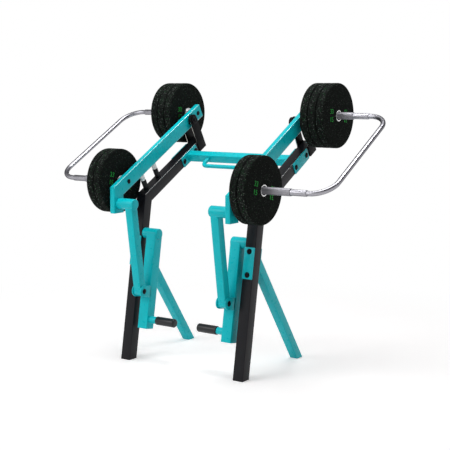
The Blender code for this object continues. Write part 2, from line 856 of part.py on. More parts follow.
def link(side, tag, paint, pivot):
    x = side * link_x
    line = [link_top, link_low]
    direction = (link_low - link_top).normalized()
    outside = bar_run(line, x, link_tube, link_tube, link_corner)
    bar = part("link_" + tag, outside, paint, spot(x, link_top), pivot)
    hub_end = lever_inner_x - seat_gap
    join(bar, "top_hub", hub(side, hub_end, link_top_end_x, link_top, link_top_radius))
    half = link_low_width / 2
    low_hub = side_rod(side, link_x - half, link_x + half, link_low, link_low_radius, round_steps)
    join(bar, "low_hub", low_hub)
    hollow = link_tube - 2 * link_wall
    short = [link_top, link_low - direction * (link_low_radius + link_wall)]
    cut(bar, "hollow", bar_run(short, x, hollow, hollow, 0))
    floor_x = link_shaft_end_x - hub_end_gap
    bore = link_shaft_radius + running_gap
    bores = [side_rod(side, floor_x, hub_end + overrun, link_top, bore, round_steps)]
    start_x = link_x - half - overrun
    end_x = link_x + half + overrun
    bores.append(side_rod(side, start_x, end_x, link_low, bolt_shank_radius + seat_gap, bolt_steps))
    cut(bar, "bores", gather(bores))


def clevis_cheeks(side):
    # Two round-nosed plates that stand on the swing arm's front face.
    root = link_low - leg_front * (clevis_reach - arm_tube / 2 + clevis_root)
    edge = leg_direction * clevis_nose
    upward = pi / 2 - leg_lean
    outline = [root + edge] + arc(link_low, clevis_nose, upward, upward + pi, cap_steps) + [root - edge]
    offset = (cheek_inner + cheek_outer) / 2
    return [slab(outline, side * (arm_x + way * offset), clevis_cheek) for way in (-1, 1)]


def swing_arm(side, tag, paint, pivot):
    x = side * arm_x
    low = arm_pivot - leg_direction * arm_length
    line = [arm_pivot, low]
    outside = bar_run(line, x, arm_tube, arm_tube, arm_corner)
    arm = part("swing_arm_" + tag, outside, paint, spot(x, arm_pivot), pivot)
    hub_end = frame_inner_x - seat_gap
    join(arm, "hub", hub(side, hub_end, arm_hub_end_x, arm_pivot, arm_hub_radius))
    join(arm, "clevis", gather(clevis_cheeks(side)))
    hollow = arm_tube - 2 * arm_wall
    inside = bar_run(line, x, hollow, hollow, 0, (None, None), (0, -arm_cap))
    cut(arm, "hollow", inside)
    peg_point = arm_pivot - leg_direction * peg_down
    arm_inner_x = arm_x - arm_tube / 2
    peg = side_rod(side, arm_inner_x + weld_sink, peg_end_x, peg_point, peg_radius, round_steps)
    join(arm, "peg", peg)
    axle_start = peg_end_x + weld_sink
    axle = side_rod(side, axle_start, axle_end_x, peg_point, axle_radius, round_steps)
    join(arm, "axle", axle)
    floor_x = arm_shaft_end_x - hub_end_gap
    bore = arm_shaft_radius + running_gap
    bores = [side_rod(side, floor_x, hub_end + overrun, arm_pivot, bore, round_steps)]
    hole = bolt_shank_radius + seat_gap
    start_x = arm_x - cheek_outer - overrun
    end_x = arm_x + cheek_outer + overrun
    bores.append(side_rod(side, start_x, end_x, link_low, hole, bolt_steps))
    cut(arm, "bores", gather(bores))


def clevis_bolts(side, tag, steel, pivot):
    # A short shoulder bolt in each cheek, ending short of the link.
    for label, way in (("inner", -1), ("outer", 1)):
        face_x = arm_x + way * (cheek_outer + seat_gap)
        end_x = arm_x + way * cheek_inner
        shank = side_rod(side, face_x + way * weld_sink, end_x, link_low, bolt_shank_radius, bolt_steps)
        origin = spot(side * face_x, link_low)
        bolt = part("clevis_bolt_" + label + "_" + tag, shank, steel, origin, pivot)
        join(bolt, "head", bolt_head(origin, Vector((side * way, 0, 0))))


def foot_grip(side, tag, rubber, pivot):
    point = arm_pivot - leg_direction * peg_down
    open_x = peg_end_x - seat_gap
    start = spot(side * open_x, point)
    end = spot(side * grip_end_x, point)
    body = rounded_rod(start, end, grip_radius, round_steps, grip_rounding)
    grip = part("foot_grip_" + tag, body, rubber, (start + end) / 2, pivot)
    bore = axle_radius + running_gap
    floor_x = axle_end_x - hub_end_gap
    cut(grip, "bore", side_rod(side, open_x + overrun, floor_x, point, bore, round_steps))


def build_side(side, tag, teal, black, steel, bolt_steel, crumb_rubber, soft_rubber, pad_rubber):
    front_frame(side, tag, black)
    fork_upright(side, tag, black)
    lever_pin(side, tag, bolt_steel)
    stop_pads(side, tag, pad_rubber)
    rear_leg(side, tag, teal)
    leg_clamp(side, tag, teal)
    crossbar_clamp(side, tag, teal)
    lever = pivot_empty("lever_pivot_" + tag, spot(side * frame_x, lever_pivot))
    lever_arm(side, tag, teal, lever)
    stacks = (
        ("front", front_sleeve_along, front_flange_x, front_plates),
        ("rear", rear_sleeve_along, rear_flange_x, rear_plates),
    )
    for label, along, flange_x, count in stacks:
        sleeve(side, tag, label, along, flange_x, steel, lever)
        sleeve_bolt(side, tag, label, along, bolt_steel, lever)
        plate_stack(side, tag, label, along, count, flange_x, crumb_rubber, steel, lever)
    weight_rail(side, tag, steel, lever)
    link_pivot = pivot_empty("link_pivot_" + tag, spot(side * link_x, link_top), lever)
    link(side, tag, teal, link_pivot)
    arm = pivot_empty("arm_pivot_" + tag, spot(side * arm_x, arm_pivot))
    swing_arm(side, tag, teal, arm)
    clevis_bolts(side, tag, bolt_steel, arm)
    peg_point = arm_pivot - leg_direction * peg_down
    peg = pivot_empty("grip_pivot_" + tag, spot(side * peg_end_x, peg_point), arm)
    foot_grip(side, tag, soft_rubber, peg)


def build():
    start_clean()
    teal = finish_material("teal_paint", (0.0, 0.55, 0.58), 0.4, 0.0)
    black = finish_material("black_paint", (0.02, 0.02, 0.022), 0.45, 0.0)
    steel = finish_material("stainless_steel", (0.72, 0.72, 0.74), 0.25, 1.0)
    bolt_steel = finish_material("black_steel", (0.02, 0.02, 0.02), 0.35, 0.6)
    crumb_rubber = finish_material("crumb_rubber", (0.015, 0.02, 0.018), 0.8, 0.0)
    soft_rubber = finish_material("grip_rubber", (0.02, 0.02, 0.02), 0.7, 0.0)
    pad_rubber = finish_material("pad_rubber", (0.6, 0.6, 0.62), 0.6, 0.0)
    for side, tag in ((-1, "left"), (1, "right")):
        build_side(side, tag, teal, black, steel, bolt_steel, crumb_rubber, soft_rubber, pad_rubber)
    crossbar(teal)
    handle(teal)


build()
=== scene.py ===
import json
from math import atan2, cos, pi, radians, sin

import bmesh
import bpy
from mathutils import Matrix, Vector


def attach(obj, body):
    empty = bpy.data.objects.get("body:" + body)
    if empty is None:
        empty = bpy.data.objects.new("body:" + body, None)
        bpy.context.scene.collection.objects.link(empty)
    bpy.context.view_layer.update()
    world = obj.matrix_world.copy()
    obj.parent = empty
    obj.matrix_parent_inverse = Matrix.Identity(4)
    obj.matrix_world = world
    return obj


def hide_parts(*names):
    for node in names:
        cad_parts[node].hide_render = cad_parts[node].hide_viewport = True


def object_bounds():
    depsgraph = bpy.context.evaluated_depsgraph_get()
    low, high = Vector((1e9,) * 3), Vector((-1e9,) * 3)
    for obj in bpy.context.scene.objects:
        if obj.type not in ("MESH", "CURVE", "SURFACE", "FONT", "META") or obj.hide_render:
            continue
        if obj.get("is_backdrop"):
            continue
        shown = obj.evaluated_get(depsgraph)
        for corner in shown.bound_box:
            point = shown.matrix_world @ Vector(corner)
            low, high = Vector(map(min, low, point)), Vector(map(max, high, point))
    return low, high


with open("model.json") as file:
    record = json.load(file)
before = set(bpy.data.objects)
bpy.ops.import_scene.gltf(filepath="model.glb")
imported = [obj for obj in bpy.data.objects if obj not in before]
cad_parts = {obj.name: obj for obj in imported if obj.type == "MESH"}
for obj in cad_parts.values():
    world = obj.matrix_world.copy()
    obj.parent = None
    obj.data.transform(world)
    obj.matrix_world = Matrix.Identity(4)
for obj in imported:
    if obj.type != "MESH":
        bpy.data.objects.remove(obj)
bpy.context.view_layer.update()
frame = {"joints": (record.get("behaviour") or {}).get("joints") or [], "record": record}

print("machine: packed model loaded")

# Places in the side plane are (y, z). The right pieces are modelled, and copied for the left.
machine = {
    "legLean": radians(9.7), "beamSlope": radians(29.15), "rearLean": radians(35.0),
    "bendHeight": 1.1413, "leverWidth": 0.040, "leverDepth": 0.100,
    "gap": 0.0003,  # between pieces that rest on each other
    "overlap": 0.002,  # how far a piece runs into the one it is welded to
}
# Limits that the hand tools share
tools = {
    "near": 0.0002,  # places closer than this count as one
    "level": 0.0001,  # an edge this flat along X runs round its piece
    "weld": 0.00005,
    "edgeBand": 0.001,  # how far inside its outline an edge may lie
    "aligned": 0.99,  # cosine between two directions that count as one
    "endCorners": 20,  # a drum's flat end has more corners than this
    "longEdge": 0.005,  # the shortest edge that runs along a tube
    "plateAngle": 50,
    "smoothAngle": radians(35),
}
gap = machine["gap"]
overlap = machine["overlap"]
hands = ((-1, "left"), (1, "right"))
joints = {joint["name"]: joint for joint in frame["joints"]}
mounts = {mount["name"]: mount for mount in frame["record"]["mounts"]}


def sidePoint(place):
    return Vector(place[1:])


foot = sidePoint(mounts["front_foot_right"]["pos_m"])
heel = sidePoint(mounts["rear_foot_right"]["pos_m"])
leverPivot = sidePoint(joints["lever_lift_right"]["pos_m"])
armPivot = sidePoint(joints["arm_swing_right"]["pos_m"])
linkTop = sidePoint(joints["link_turn_right"]["pos_m"])
peg = sidePoint(joints["grip_roll_right"]["pos_m"])
frameX = joints["lever_lift_right"]["pos_m"][0]
armX = joints["arm_swing_right"]["pos_m"][0]
pegX = joints["grip_roll_right"]["pos_m"][0]

beamWay = Vector((cos(machine["beamSlope"]), sin(machine["beamSlope"])))
beamUp = Vector((-sin(machine["beamSlope"]), cos(machine["beamSlope"])))
legWay = Vector((sin(machine["legLean"]), cos(machine["legLean"])))
legFront = Vector((-cos(machine["legLean"]), sin(machine["legLean"])))
rearWay = Vector((-sin(machine["rearLean"]), cos(machine["rearLean"])))
down = Vector((0, -1))
outwards = Vector((1, 0, 0))
bend = foot + legWay * (machine["bendHeight"] / legWay.y)
leverRise = (leverPivot - bend).dot(beamUp)
pivotAlong = (leverPivot - bend).dot(beamWay)


def onBeam(along, rise=0):
    return bend + beamWay * along + beamUp * rise


def onLeg(up, front=0):
    return foot + legWay * up + legFront * front


def at(x, point):
    return Vector((x, point.x, point.y))


def tiltOf(way):
    return atan2(-way.x, way.y)  # turn about X that lays local Z along a side-plane direction


# Hand tools: each works on one piece whose place is in its mesh
def calm():
    if bpy.context.mode != "OBJECT":
        bpy.ops.object.mode_set(mode="OBJECT")
    bpy.ops.object.select_all(action="DESELECT")


def take(piece):
    calm()
    piece.select_set(True)
    bpy.context.view_layer.objects.active = piece
    return piece


def settle():
    bpy.ops.object.transform_apply(location=True, rotation=True, scale=True)
    return bpy.context.object


def copyOf(piece):
    take(piece)
    bpy.ops.object.duplicate()
    return bpy.context.object


def every(item):
    return True


def edit(piece, mode, test):
    take(piece)
    bpy.ops.object.mode_set(mode="EDIT")
    bpy.ops.mesh.select_mode(type=mode)
    bpy.ops.mesh.select_all(action="DESELECT")
    form = bmesh.from_edit_mesh(piece.data)
    for item in {"VERT": form.verts, "EDGE": form.edges, "FACE": form.faces}[mode]:
        if test(item):
            item.select_set(True)
    form.select_flush_mode()
    bmesh.update_edit_mesh(piece.data)


def roundEdges(piece, test, size, segments=4):
    edit(piece, "EDGE", test)
    bpy.ops.mesh.bevel(
        offset=size, segments=segments, profile=0.5, affect="EDGES", clamp_overlap=True,
    )
    calm()
    return piece


def easeEdges(piece, size, segments=2, angle=40):
    # a bevel modifier on every edge sharper than the angle
    take(piece)
    bpy.ops.object.modifier_add(type="BEVEL")
    step = piece.modifiers[-1]
    step.width = size
    step.segments = segments
    step.limit_method = "ANGLE"
    step.angle_limit = radians(angle)
    step.harden_normals = False
    bpy.ops.object.modifier_apply(modifier=step.name)
    calm()
    return piece


def easePlate(piece, size=0.001, segments=2):
    return easeEdges(piece, size, segments, tools["plateAngle"])


def slicePiece(piece, point, normal, close):
    # what lies on the normal's side of the plane is cut away
    edit(piece, "VERT", every)
    bpy.ops.mesh.bisect(plane_co=point, plane_no=normal, use_fill=close, clear_outer=True)
    calm()
    return piece


def turnPiece(piece, angle, centre):
    # a turn about X
    edit(piece, "VERT", every)
    bpy.ops.transform.rotate(value=angle, orient_axis="X", center_override=centre)
    calm()


def combine(pieces, weld=0):
    calm()
    for piece in pieces:
        piece.select_set(True)
    bpy.context.view_layer.objects.active = pieces[0]
    bpy.ops.object.join()
    whole = bpy.context.object
    if weld:
        edit(whole, "VERT", every)
        bpy.ops.mesh.remove_doubles(threshold=weld)
    calm()
    return whole


def block(centre, size, way=Vector((0, 1))):
    # size is (along X, across, along the way)
    calm()
    bpy.ops.mesh.primitive_cube_add(
        size=1, location=centre, rotation=(tiltOf(way), 0, 0), scale=size,
    )
    return settle()


def drum(xStart, xEnd, point, radius, sides):
    # a round piece along X
    calm()
    bpy.ops.mesh.primitive_cylinder_add(
        vertices=sides, radius=radius, depth=abs(xEnd - xStart),
        location=at((xStart + xEnd) / 2, point), rotation=(0, pi / 2, 0),
    )
    return settle()


def post(start, end, radius, sides):
    # a round piece between two places
    calm()
    axis = end - start
    bpy.ops.mesh.primitive_cylinder_add(
        vertices=sides, radius=radius, depth=axis.length,
        location=(start + end) / 2, rotation=axis.to_track_quat("Z", "Y").to_euler(),
    )
    return settle()


def bead(centre, axis, radius, thickness):
    # a round weld seam
    calm()
    bpy.ops.mesh.primitive_torus_add(
        major_radius=radius, minor_radius=thickness, major_segments=40, minor_segments=8,
        location=centre, rotation=axis.to_track_quat("Z", "Y").to_euler(),
    )
    return settle()


def endFace(face):
    return len(face.verts) > tools["endCorners"]


def rimEdges(x):
    return lambda edge: all(abs(vert.co.x - x) < tools["near"] for vert in edge.verts)


def longEdges(way, shortest=tools["longEdge"]):
    axis = at(0, way)

    def test(edge):
        line = edge.verts[1].co - edge.verts[0].co
        return abs(line.normalized().dot(axis)) > tools["aligned"] and line.length > shortest
    return test


def crossEdges(edge):
    line = (edge.verts[1].co - edge.verts[0].co).normalized()
    return abs(line.x) > tools["aligned"]


def circleEdges(point, least, most):
    # edges that run round the X axis through a point, with both ends between two radii
    def test(edge):
        reach = [(sidePoint(vert.co) - point).length for vert in edge.verts]
        flat = abs(edge.verts[0].co.x - edge.verts[1].co.x) < tools["level"]
        return flat and min(reach) > least and max(reach) < most
    return test


def flatPlate(centre, size, way, test, corner):
    # a steel plate with rounded corners and eased edges
    return easePlate(roundEdges(block(centre, size, way), test, corner))


def cheekPlate(x, root, nose, thickness, radius, way, ease):
    # a flat plate along a side-plane direction, with a half-round nose
    plate = block(at(x, (root + nose) / 2), (thickness, 2 * radius, (nose - root).length), way)
    limit = (nose - root).dot(way) - tools["edgeBand"]

    def noseEdges(edge):
        return crossEdges(edge) and (sidePoint(edge.verts[0].co) - root).dot(way) > limit
    roundEdges(plate, noseEdges, radius - tools["near"], segments=14)
    return easePlate(plate, ease)


def tubeRun(points, x, size, corner, firstNormal=None, lastNormal=None):
    # square tube along side-plane points, mitred at its bends; size is (along X, in the plane)
    ways = [(after - before).normalized() for before, after in zip(points, points[1:])]
    firstNormal = firstNormal or -ways[0]
    lastNormal = lastNormal or ways[-1]
    pieces = []
    for index, way in enumerate(ways):
        start = points[index] - way * size[1]
        end = points[index + 1] + way * size[1]
        piece = block(at(x, (start + end) / 2), (*size, (end - start).length), way)
        roundEdges(piece, longEdges(way), corner)
        first = index == 0
        last = index == len(ways) - 1
        normal = firstNormal if first else -(ways[index - 1] + way).normalized()
        slicePiece(piece, at(x, points[index]), at(0, normal), first)
        normal = lastNormal if last else (way + ways[index + 1]).normalized()
        slicePiece(piece, at(x, points[index + 1]), at(0, normal), last)
        pieces.append(piece)
    return combine(pieces, tools["weld"])


def bentTube(radius, sides, start, heading, runs, bendRadius, bendSteps):
    # round tube in the XY plane that turns left by a quarter after each run but the last
    calm()
    turn = Vector((1, 0)).angle_signed(Vector(heading)) if heading[1] else 0
    bpy.ops.mesh.primitive_circle_add(
        vertices=sides, radius=radius, fill_type="NGON",
        location=(start[0], start[1], 0), rotation=(0, pi / 2, -turn),
    )
    piece = settle()
    place = Vector(start)
    heading = Vector(heading)
    edit(piece, "FACE", every)
    for number, run in enumerate(runs):
        move = heading * run
        bpy.ops.mesh.extrude_region_move(TRANSFORM_OT_translate={"value": (move.x, move.y, 0)})
        place = place + move
        if number < len(runs) - 1:
            left = Vector((-heading.y, heading.x))
            centre = place + left * bendRadius
            bpy.ops.mesh.spin(
                steps=bendSteps, angle=-pi / 2, center=(centre.x, centre.y, 0), axis=(0, 0, 1),
            )
            place = centre + heading * bendRadius
            heading = left
    bpy.ops.mesh.select_all(action="SELECT")
    bpy.ops.mesh.remove_doubles(threshold=tools["weld"])
    bpy.ops.mesh.normals_make_consistent(inside=False)
    calm()
    return piece


def layOnBeam(piece, point):
    # a piece drawn flat is turned with the beam and moved to its place
    take(piece)
    piece.rotation_euler = (machine["beamSlope"], 0, 0)
    piece.location = at(0, point)
    return settle()


def finishPiece(piece, name, body, material, nodes=()):
    take(piece)
    bpy.ops.object.shade_smooth_by_angle(angle=tools["smoothAngle"])
    piece.name = name
    piece.data.name = name
    piece.data.materials.clear()
    piece.data.materials.append(material)
    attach(piece, body)
    if nodes:
        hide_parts(*nodes)
    calm()
    return piece


def leftCopy(piece):
    # mirrored across the machine, with its faces turned back outwards
    copy = copyOf(piece)
    copy.scale.x = -1
    settle()
    edit(copy, "FACE", every)
    bpy.ops.mesh.flip_normals()
    calm()
    return copy


def finishPair(piece, name, body, material, nodes=()):
    # {} in the body's and the nodes' names stands for the side
    copy = leftCopy(piece)
    for item, tag in ((copy, "left"), (piece, "right")):
        names = [node.format(tag) for node in nodes]
        finishPiece(item, name + "_" + tag, body.format(tag), material, names)


def secondFinish(name, material, test):
    # a second material on the chosen faces of both sides
    for tag in ("left", "right"):
        piece = bpy.data.objects[name + "_" + tag]
        piece.data.materials.append(material)
        edit(piece, "FACE", test)
        piece.active_material_index = 1
        bpy.ops.object.material_slot_assign()
        calm()


# Shader tools: a number or colour is set on its socket, and another node's output is linked
def feed(tree, node, sockets):
    for name, value in sockets.items():
        if isinstance(value, bpy.types.NodeSocket):
            tree.links.new(value, node.inputs[name])
        else:
            node.inputs[name].default_value = value


def addNode(tree, kind, sockets, **settings):
    node = tree.nodes.new("ShaderNode" + kind)
    for name, value in settings.items():
        setattr(node, name, value)
    feed(tree, node, sockets)
    return node


def newMaterial(name):
    material = bpy.data.materials.new(name)
    material.use_nodes = True
    tree = material.node_tree
    return material, tree, tree.nodes["Principled BSDF"]


def placeFrom(tree, kind="Object"):
    return addNode(tree, "TexCoord", {}).outputs[kind]


def noiseFrom(tree, place, scale, detail, roughness=0.5):
    sockets = {"Vector": place, "Scale": scale, "Detail": detail, "Roughness": roughness}
    return addNode(tree, "TexNoise", sockets).outputs["Fac"]


def rampFrom(tree, value, stops):
    ramp = addNode(tree, "ValToRGB", {"Fac": value})
    while len(ramp.color_ramp.elements) < len(stops):
        ramp.color_ramp.elements.new(0.5)
    for element, (position, colour) in zip(ramp.color_ramp.elements, stops):
        element.position = position
        element.color = (*colour, 1)
    return ramp.outputs["Color"]


def toneFrom(tree, value, low, high, spread):
    # the middle of a noise's range is drawn out from low to high
    return rampFrom(tree, value, ((0.5 - spread, low), (0.5 + spread, high)))


def bumpFrom(tree, height, strength, distance, before=None):
    sockets = {"Height": height, "Strength": strength, "Distance": distance}
    if before:
        sockets["Normal"] = before
    return addNode(tree, "Bump", sockets).outputs["Normal"]


def mathFrom(tree, operation, first, second):
    return addNode(tree, "Math", {0: first, 1: second}, operation=operation).outputs["Value"]


def roughnessFrom(tree, value, middle, look, spread=0.2):
    low = middle - look["smoother"]
    high = middle + look["rougher"]
    return toneFrom(tree, value, (low, low, low), (high, high, high), spread)


# Finishes
powder = {
    "mottle": 9, "spread": 0.2, "haze": 40, "smoother": 0.04, "rougher": 0.05,
    "peel": 0.12, "peelScale": 420, "peelDepth": 0.0006,
    "rubbedPeel": 0.01, "rubbedRoughness": 0.2, "coatRoughness": 0.26, "coatIndex": 1.8,
}


def powderCoat(name, colour, shade, roughness, level, peel=powder["peel"]):
    # baked powder paint: a little mottling and a fine orange peel
    material, tree, shader = newMaterial(name)
    place = placeFrom(tree)
    mottle = noiseFrom(tree, place, powder["mottle"], detail=3)
    haze = noiseFrom(tree, place, powder["haze"], detail=2)
    grains = noiseFrom(tree, place, powder["peelScale"], detail=1)
    feed(tree, shader, {
        "Base Color": toneFrom(tree, mottle, shade, colour, powder["spread"]),
        "Roughness": roughnessFrom(tree, haze, roughness, powder),
        "Specular IOR Level": level,
        "Normal": bumpFrom(tree, grains, peel, powder["peelDepth"]),
    })
    return material


def glossCorner(name, colour, shade):
    # where the paint is rubbed smooth along a tube's corners
    material = powderCoat(name, colour, shade, powder["rubbedRoughness"], 1, powder["rubbedPeel"])
    tree = material.node_tree
    feed(tree, tree.nodes["Principled BSDF"], {
        "Coat Weight": 1,
        "Coat Roughness": powder["coatRoughness"],
        "Coat IOR": powder["coatIndex"],
    })
    return material


crumbLook = {
    "scale": 240, "roughness": 0.86, "level": 0.04, "faceQuiet": 0.55,
    "faceColour": (0.0078, 0.0092, 0.0083, 1),
    "flecks": (
        (0.0, (0.0062, 0.0072, 0.0066)), (0.5, (0.0085, 0.01, 0.009)),
        (0.78, (0.017, 0.023, 0.019)), (0.89, (0.036, 0.048, 0.04)),
        (0.945, (0.012, 0.065, 0.022)), (0.97, (0.13, 0.15, 0.135)),
    ),
    "pitStrength": 0.35, "pitDepth": 0.0012,
    "dustScale": 900, "dustStrength": 0.2, "dustDepth": 0.0005,
}


def crumbRubber(name):
    # pressed granules: near black, with pale and green flecks
    material, tree, shader = newMaterial(name)
    place = placeFrom(tree)
    grains = addNode(tree, "TexVoronoi", {
        "Vector": place, "Scale": crumbLook["scale"], "Randomness": 1,
    })
    split = addNode(tree, "SeparateColor", {"Color": grains.outputs["Color"]})
    fleck = rampFrom(tree, split.outputs["Red"], crumbLook["flecks"])
    fleck.node.color_ramp.interpolation = "CONSTANT"
    # the tread shows more flecks than the moulded faces
    facing = addNode(tree, "SeparateXYZ", {"Vector": placeFrom(tree, "Normal")})
    flat = addNode(tree, "Math", {0: facing.outputs["X"]}, operation="ABSOLUTE")
    quiet = addNode(tree, "MapRange", {
        "Value": flat.outputs["Value"], "To Max": crumbLook["faceQuiet"],
    })
    blend = addNode(tree, "Mix", {
        "Factor": quiet.outputs["Result"], "A": fleck, "B": crumbLook["faceColour"],
    }, data_type="RGBA")
    pits = bumpFrom(
        tree, grains.outputs["Distance"], crumbLook["pitStrength"], crumbLook["pitDepth"],
    )
    dust = noiseFrom(tree, place, crumbLook["dustScale"], detail=2)
    feed(tree, shader, {
        "Base Color": blend.outputs["Result"],
        "Roughness": crumbLook["roughness"],
        "Specular IOR Level": crumbLook["level"],
        "Normal": bumpFrom(tree, dust, crumbLook["dustStrength"], crumbLook["dustDepth"], pits),
    })
    return material


steelLook = {
    "lineShade": 0.86, "spread": 0.15, "smoother": 0.05, "rougher": 0.06, "lineDepth": 0.0004,
}


def steelFinish(name, colour, edge, roughness, streak, across=(1, 1, 1), metal=1, grain=0.08):
    # bare steel with faint draw lines; edge is how bright it stays where it curves away
    material, tree, shader = newMaterial(name)
    stretch = addNode(tree, "Mapping", {"Vector": placeFrom(tree), "Scale": across})
    lines = noiseFrom(tree, stretch.outputs["Vector"], streak, detail=3, roughness=0.6)
    dark = tuple(share * steelLook["lineShade"] for share in colour)
    feed(tree, shader, {
        "Base Color": toneFrom(tree, lines, dark, colour, steelLook["spread"]),
        "Roughness": roughnessFrom(tree, lines, roughness, steelLook),
        "Metallic": metal,
        "Specular Tint": (edge, edge, edge, 1),
        "Normal": bumpFrom(tree, lines, grain, steelLook["lineDepth"]),
    })
    return material


rubberLook = {"cloud": 30, "spread": 0.15, "grainStrength": 0.25, "grainDepth": 0.0006}


def softRubber(name, colour, shade, roughness, level, grain):
    # rubber or thick paint: a cloudy tone and a fine grain
    material, tree, shader = newMaterial(name)
    place = placeFrom(tree)
    cloud = noiseFrom(tree, place, rubberLook["cloud"], detail=4)
    grains = noiseFrom(tree, place, grain, detail=2)
    feed(tree, shader, {
        "Base Color": toneFrom(tree, cloud, shade, colour, rubberLook["spread"]),
        "Roughness": roughness,
        "Specular IOR Level": level,
        "Normal": bumpFrom(tree, grains, rubberLook["grainStrength"], rubberLook["grainDepth"]),
    })
    return material


teal = {"colour": (0.003, 0.565, 0.63), "shade": (0.003, 0.525, 0.585)}
black = {"colour": (0.0085, 0.0085, 0.011), "shade": (0.0065, 0.0065, 0.009)}
tealPaint = powderCoat("tealPaint", **teal, roughness=0.3, level=0.2)
blackPaint = powderCoat("blackPaint", **black, roughness=0.33, level=0.2)
tealCorner = glossCorner("tealCorner", **teal)
blackCorner = glossCorner("blackCorner", **black)
cheekPaint = powderCoat(
    "cheekPaint", (0.006, 0.006, 0.007), (0.0045, 0.0045, 0.0055), roughness=0.5, level=0.08,
)
blackSteel = powderCoat(
    "blackSteel", (0.0045, 0.0048, 0.0075), (0.0035, 0.0037, 0.006), roughness=0.3, level=0.1,
)
stainless = steelFinish(
    "stainless", (0.41, 0.405, 0.44), edge=0.0, roughness=0.32, streak=40,
    across=(0.08, 1, 1), grain=0.02,
)
satinSteel = steelFinish(
    "satinSteel", (0.36, 0.355, 0.385), edge=0.4, roughness=0.56, streak=80, across=(0.2, 1, 1),
)
zincRing = steelFinish(
    "zincRing", (0.95, 0.95, 0.95), edge=1, roughness=0.16, streak=90, metal=0.85, grain=0.02,
)
brightSteel = steelFinish(
    "brightSteel", (0.86, 0.86, 0.87), edge=0.7, roughness=0.3, streak=70, metal=0.55,
)
# bright steel colour that paints the highlight on the fork cheeks' front edges
cutSteel = steelFinish("cutSteel", (0.56, 0.54, 0.5), edge=0.5, roughness=0.34, streak=90)
crumb = crumbRubber("crumbRubber")
gripRubber = softRubber(
    "gripRubber", (0.01, 0.01, 0.012), (0.0075, 0.0075, 0.009),
    roughness=0.34, level=0.4, grain=600,
)
padRubber = softRubber(
    "padRubber", (0.97, 0.97, 0.97), (0.93, 0.93, 0.935), roughness=0.4, level=0.7, grain=500,
)
greenPaint = softRubber(
    "greenPaint", (0.016, 0.38, 0.05), (0.012, 0.28, 0.036), roughness=0.6, level=0.15, grain=700,
)
print("machine: materials made")

# Side frame: front leg, sloping beam, stop posts and the swing arm's shaft
sideFrame = {
    "tube": 0.080, "corner": 0.004, "beamEnd": pivotAlong + 0.034,
    "postRadius": 0.019, "postTop": 0.115, "postPlaces": (0.0508, 0.2028), "postEase": 0.0015,
    "shaftRadius": 0.018, "shaftEnd": armX - 0.034, "bead": 0.003, "sides": 40,
}
half = sideFrame["tube"] / 2
inner = frameX - half
tubeFace = half + gap  # where a plate lies on the tube
cornerFace = {"long": 0.08, "narrow": 0.003}


def slopedCorner(face):
    # the long narrow faces of a rounded corner that runs along the beam
    longest = max(face.edges, key=lambda edge: edge.calc_length())
    shortest = min(edge.calc_length() for edge in face.edges)
    line = longest.verts[1].co - longest.verts[0].co
    along = abs(line.normalized().dot(at(0, beamWay))) > tools["aligned"]
    narrow = line.length > cornerFace["long"] and shortest < cornerFace["narrow"]
    return len(face.edges) == 4 and narrow and along


parts = [tubeRun(
    [foot, bend, onBeam(sideFrame["beamEnd"])], frameX, (sideFrame["tube"], sideFrame["tube"]),
    sideFrame["corner"], down,
)]
for along in sideFrame["postPlaces"]:
    low = at(frameX, onBeam(along, half - overlap))
    top = at(frameX, onBeam(along, sideFrame["postTop"]))
    stopPost = post(low, top, sideFrame["postRadius"], sideFrame["sides"])
    parts.append(easeEdges(stopPost, sideFrame["postEase"]))
    seam = at(frameX, onBeam(along, half))
    parts.append(bead(seam, top - low, sideFrame["postRadius"], sideFrame["bead"]))
parts.append(drum(
    inner + overlap, sideFrame["shaftEnd"], armPivot, sideFrame["shaftRadius"], sideFrame["sides"],
))
finishPair(combine(parts), "sideFrame", "frame", blackPaint, ["front_frame_{}"])
secondFinish("sideFrame", blackCorner, slopedCorner)

# Forked upright that carries the lever: a cheek plate on each side of the beam
fork = {
    "depth": 0.088, "plate": 0.006, "below": 0.040, "forward": 0.005, "ease": 0.0008,
    "brightFrom": 0.042,
}
forkAlong = pivotAlong - fork["forward"]
cheekOuter = tubeFace + fork["plate"]
low = onBeam(forkAlong, -fork["below"])
top = onBeam(forkAlong, leverRise + fork["depth"] / 2)
cheeks = []
for way in (-1, 1):
    middle = frameX + way * (tubeFace + cheekOuter) / 2
    cheek = cheekPlate(middle, low, top, fork["plate"], fork["depth"] / 2, beamUp, fork["ease"])
    edit(cheek, "VERT", every)
    # the cheek is split where the painted highlight on its front edge starts
    paintedHighlightLine = at(frameX, onBeam(forkAlong, fork["brightFrom"]))
    bpy.ops.mesh.bisect(plane_co=paintedHighlightLine, plane_no=at(0, beamUp))
    calm()
    cheeks.append(cheek)


def paintedHighlightEdge(face):
    # the front edge above the beam gets a bright bare-metal colour, a painted highlight
    middle = sidePoint(face.calc_center_median()) - bend
    facing = sidePoint(face.normal).dot(beamWay)
    return facing < -tools["aligned"] and middle.dot(beamUp) > fork["brightFrom"]


finishPair(combine(cheeks), "forkCheeks", "frame", cheekPaint, ["fork_upright_{}"])
# painted highlight: bright steel on the cheeks' front edges above the beam
secondFinish("forkCheeks", cutSteel, paintedHighlightEdge)

# Dome bolt and its washer
bolt = {
    "radius": 0.015, "height": 0.008, "dome": 0.5, "washer": 0.0192, "washerThickness": 0.0012,
    "washerEase": 0.0004, "sides": 32,
}


def domeBolt(place, outward, radius=bolt["radius"], washer=True):
    crown = place + outward * bolt["height"]
    head = post(place, crown, radius, bolt["sides"])
    tip = crown.dot(outward)

    def crownEdges(edge):
        return all(abs(vert.co.dot(outward) - tip) < tools["near"] for vert in edge.verts)
    roundEdges(head, crownEdges, radius * bolt["dome"], segments=6)
    if not washer:
        return [head]
    wide = radius * bolt["washer"] / bolt["radius"]
    plate = post(place, place + outward * bolt["washerThickness"], wide, bolt["sides"])
    return [head, easeEdges(plate, bolt["washerEase"], segments=1)]


